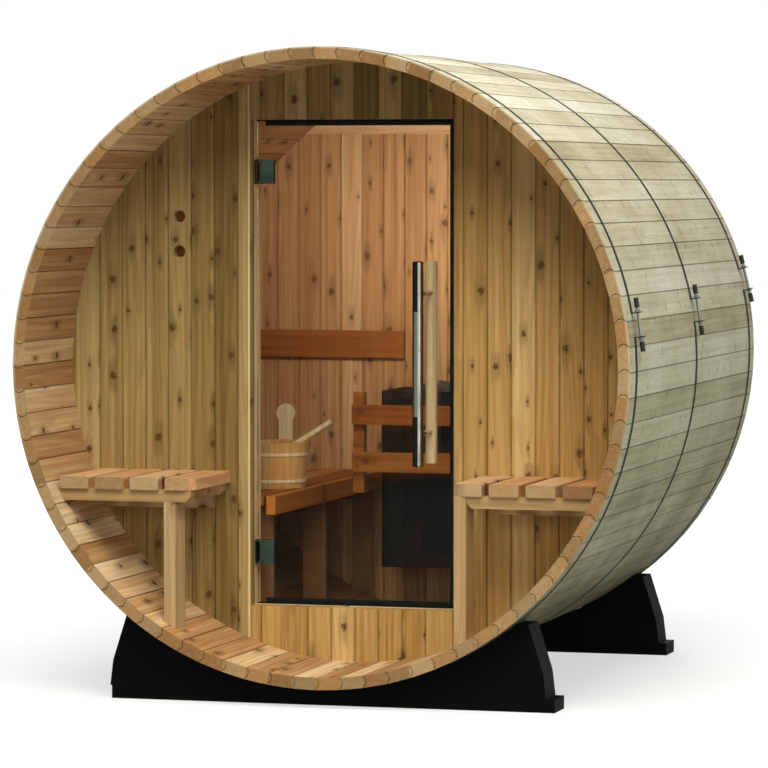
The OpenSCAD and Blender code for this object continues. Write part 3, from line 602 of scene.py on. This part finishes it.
ease("left_porch_slats", "right_porch_slats", "left_porch_post", "right_porch_post", "door_frame",
     "left_porch_bearers", "right_porch_bearers", "left_bench_seat", "right_bench_seat", "heater_guard",
     "backrests")
smooth("outer_handle", "inner_handle", "bucket", "ladle", "tension_rod_caps", "band_tension_rods",
       "front_band", "middle_band", "rear_band", "frame_hinge_leaves", "door_hinge_leaves",
       "front_wall_left", "heater")


def add_piece(name, shape, material):
    """A new piece from a bmesh, all in one material."""
    mesh = bpy.data.meshes.new(name)
    shape.to_mesh(mesh)
    shape.free()
    mesh.materials.append(material)
    piece = bpy.data.objects.new(name, mesh)
    bpy.context.collection.objects.link(piece)
    return piece


def heater_rocks():
    """Heap of split stones in the heater's tray."""
    low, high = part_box("heater_stones")
    middle = (low + high) / 2
    pick = random.Random(7)
    heap = bmesh.new()
    columns, rows, layers = 8, 6, 2
    for layer in range(layers):
        spread = ROCK_SPREAD - ROCK_STEP_IN * layer
        for column in range(columns):
            for row in range(rows):
                column_at = (column + pick.uniform(0.2, 0.8)) / columns - 0.5
                row_at = (row + pick.uniform(0.2, 0.8)) / rows - 0.5
                x = middle.x + (high.x - low.x) * spread * column_at
                y = middle.y + (high.y - low.y) * spread * row_at
                z = high.z - ROCK_BED + ROCK_LAYER * layer + pick.uniform(-0.006, 0.004)
                radius = pick.uniform(0.024, 0.032)
                stone = bmesh.ops.create_icosphere(heap, subdivisions=2, radius=radius)["verts"]
                seed = Vector((pick.uniform(0, 90), pick.uniform(0, 90), pick.uniform(0, 90)))
                stretch = Vector((pick.uniform(0.8, 1.2), pick.uniform(0.7, 1.0), pick.uniform(0.6, 0.85)))
                for vert in stone:
                    lumps = 0.35 * noise.noise(vert.co * 38 + seed)
                    chips = 0.12 * noise.noise(vert.co * 110 + seed)
                    vert.co = vert.co * (1 + lumps + chips) * stretch + Vector((x, y, z))
    piece = add_piece("heater_rocks", heap, moulded("heater_stone", (58, 54, 50), 0.75))
    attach(piece, "sauna")
    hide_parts("heater_stones")


heater_rocks()


def turned(mesh, place, profile, turns=20):
    """A closed turned solid, from radius and rise over its place, with its axis along -Y."""
    rings = []
    for radius, rise in profile:
        angles = [math.tau * step / turns for step in range(turns)]
        offsets = [Vector((radius * math.cos(angle), -rise, radius * math.sin(angle))) for angle in angles]
        rings.append([mesh.verts.new(Vector(place) + offset) for offset in offsets])
    for first, second in zip(rings, rings[1:]):
        for i in range(turns):
            mesh.faces.new((first[i - 1], first[i], second[i], second[i - 1]))
    mesh.faces.new(rings[0])
    mesh.faces.new(rings[-1])


def cabin_screws():
    """Countersunk screw heads on the heater guard and the header."""
    low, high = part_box("heater_guard")
    post_x = high.x - GUARD_POST_W / 2
    levels = [z + step for z in GUARD_RAIL_ZS for step in (-SCREW_STEP, SCREW_STEP)]
    places = [(x, low.y, z) for x in (-post_x, post_x) for z in levels]
    low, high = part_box("back_wall_header")
    places += [(x, low.y, (low.z + high.z) / 2) for x in HEADER_SCREW_XS]
    profile = (0.0013, 0.0001), (0.0018, 0.0010), (0.0036, 0.0008), (0.0043, 0.0), (0.0022, -0.003)
    heads = bmesh.new()
    for place in places:
        turned(heads, place, profile)
    bmesh.ops.recalc_face_normals(heads, faces=heads.faces)
    piece = add_piece("cabin_screws", heads, metal("screw_steel", (84, 76, 62), 0.45).material)
    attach(piece, "sauna")


cabin_screws()


# Stage: floor, world, lamps and the camera
def seen_rays(tree):
    """1 for what the camera sees, straight, in metal or through glass."""
    path = tree.nodes.new("ShaderNodeLightPath").outputs
    seen = path["Is Camera Ray"]
    for extra in ("Is Glossy Ray", "Is Transmission Ray"):
        either = tree.nodes.new("ShaderNodeMath")
        either.operation = "MAXIMUM"
        tree.links.new(seen, either.inputs[0])
        tree.links.new(path[extra], either.inputs[1])
        seen = either.outputs[0]
    return seen


def stage():
    bpy.ops.mesh.primitive_plane_add(size=80)
    floor = bpy.context.object
    floor.name = "floor"
    s = Shader("floor_pale")
    s.set(Base_Color=(0.4, 0.4, 0.4, 1.0), Roughness=0.9, Specular_IOR_Level=0.0)
    x, y, _ = s.place()
    glow = s.add("Emission")
    whiter_far_off = s.rise(s.length(x, y), 1.0, 8.0, 0.6, 1.0)
    s.put(glow.inputs["Strength"], s.math("MULTIPLY", seen_rays(s.tree), whiter_far_off))
    both = s.add("AddShader")
    s.put(both.inputs[0], s.bsdf.outputs[0])
    s.put(both.inputs[1], glow.outputs[0])
    s.put(s.tree.nodes["Material Output"].inputs["Surface"], both.outputs[0])
    floor.data.materials.append(s.material)

    world = bpy.data.worlds.new("studio")
    bpy.context.scene.world = world
    world.use_nodes = True
    tree = world.node_tree
    background = tree.nodes["Background"]
    background.inputs["Color"].default_value = (1.0, 1.0, 1.0, 1.0)
    strength = tree.nodes.new("ShaderNodeMapRange")
    strength.inputs["To Min"].default_value = 0.06
    strength.inputs["To Max"].default_value = 1.0
    tree.links.new(seen_rays(tree), strength.inputs["Value"])
    tree.links.new(strength.outputs[0], background.inputs["Strength"])


def lamp(name, place, target, size, power, colour=(1.0, 1.0, 1.0), spread=math.pi):
    data = bpy.data.lights.new(name, "AREA")
    data.energy = power
    data.size = size
    data.color = colour
    data.spread = spread
    item = bpy.data.objects.new(name, data)
    item.location = place
    item.rotation_euler = (Vector(target) - Vector(place)).to_track_quat("-Z", "Y").to_euler()
    bpy.context.collection.objects.link(item)


def camera():
    data = bpy.data.cameras.new("camera")
    data.lens = CAMERA_LENS
    data.sensor_width = 36.0
    item = bpy.data.objects.new("camera", data)
    item.location = CAMERA_PLACE
    item.rotation_euler = (math.radians(90 + CAMERA_PITCH), 0.0, math.radians(CAMERA_YAW))
    bpy.context.collection.objects.link(item)
    bpy.context.scene.camera = item


stage()
camera()
lamp("sky", (0.5, -1.0, 8.0), (0.0, -0.2, 1.0), 7.0, 400.0, (0.98, 0.99, 1.0))
lamp("key", (1.8, -6.4, 7.2), (0.0, -0.5, 0.9), 5.0, 800.0, (1.0, 0.97, 0.9))
lamp("fill", (6.5, -3.0, 1.2), (0.9, 0.0, 0.97), 4.0, 150.0)
lamp("rear_fill", (-2.5, 7.0, 4.5), (0.0, 0.5, 0.97), 5.0, 330.0)
lamp("low_fill", (0.8, -5.0, 0.9), (0.0, -0.5, 0.0), 1.5, 1.5, (1.0, 0.97, 0.9), math.radians(26))
lamp("cabin_light", (-0.05, -0.3, 1.62), (-0.05, 0.8, 1.2), 0.24, 5.0, (1.0, 0.96, 0.88), math.radians(98))

bpy.context.scene.view_settings.view_transform = "Standard"
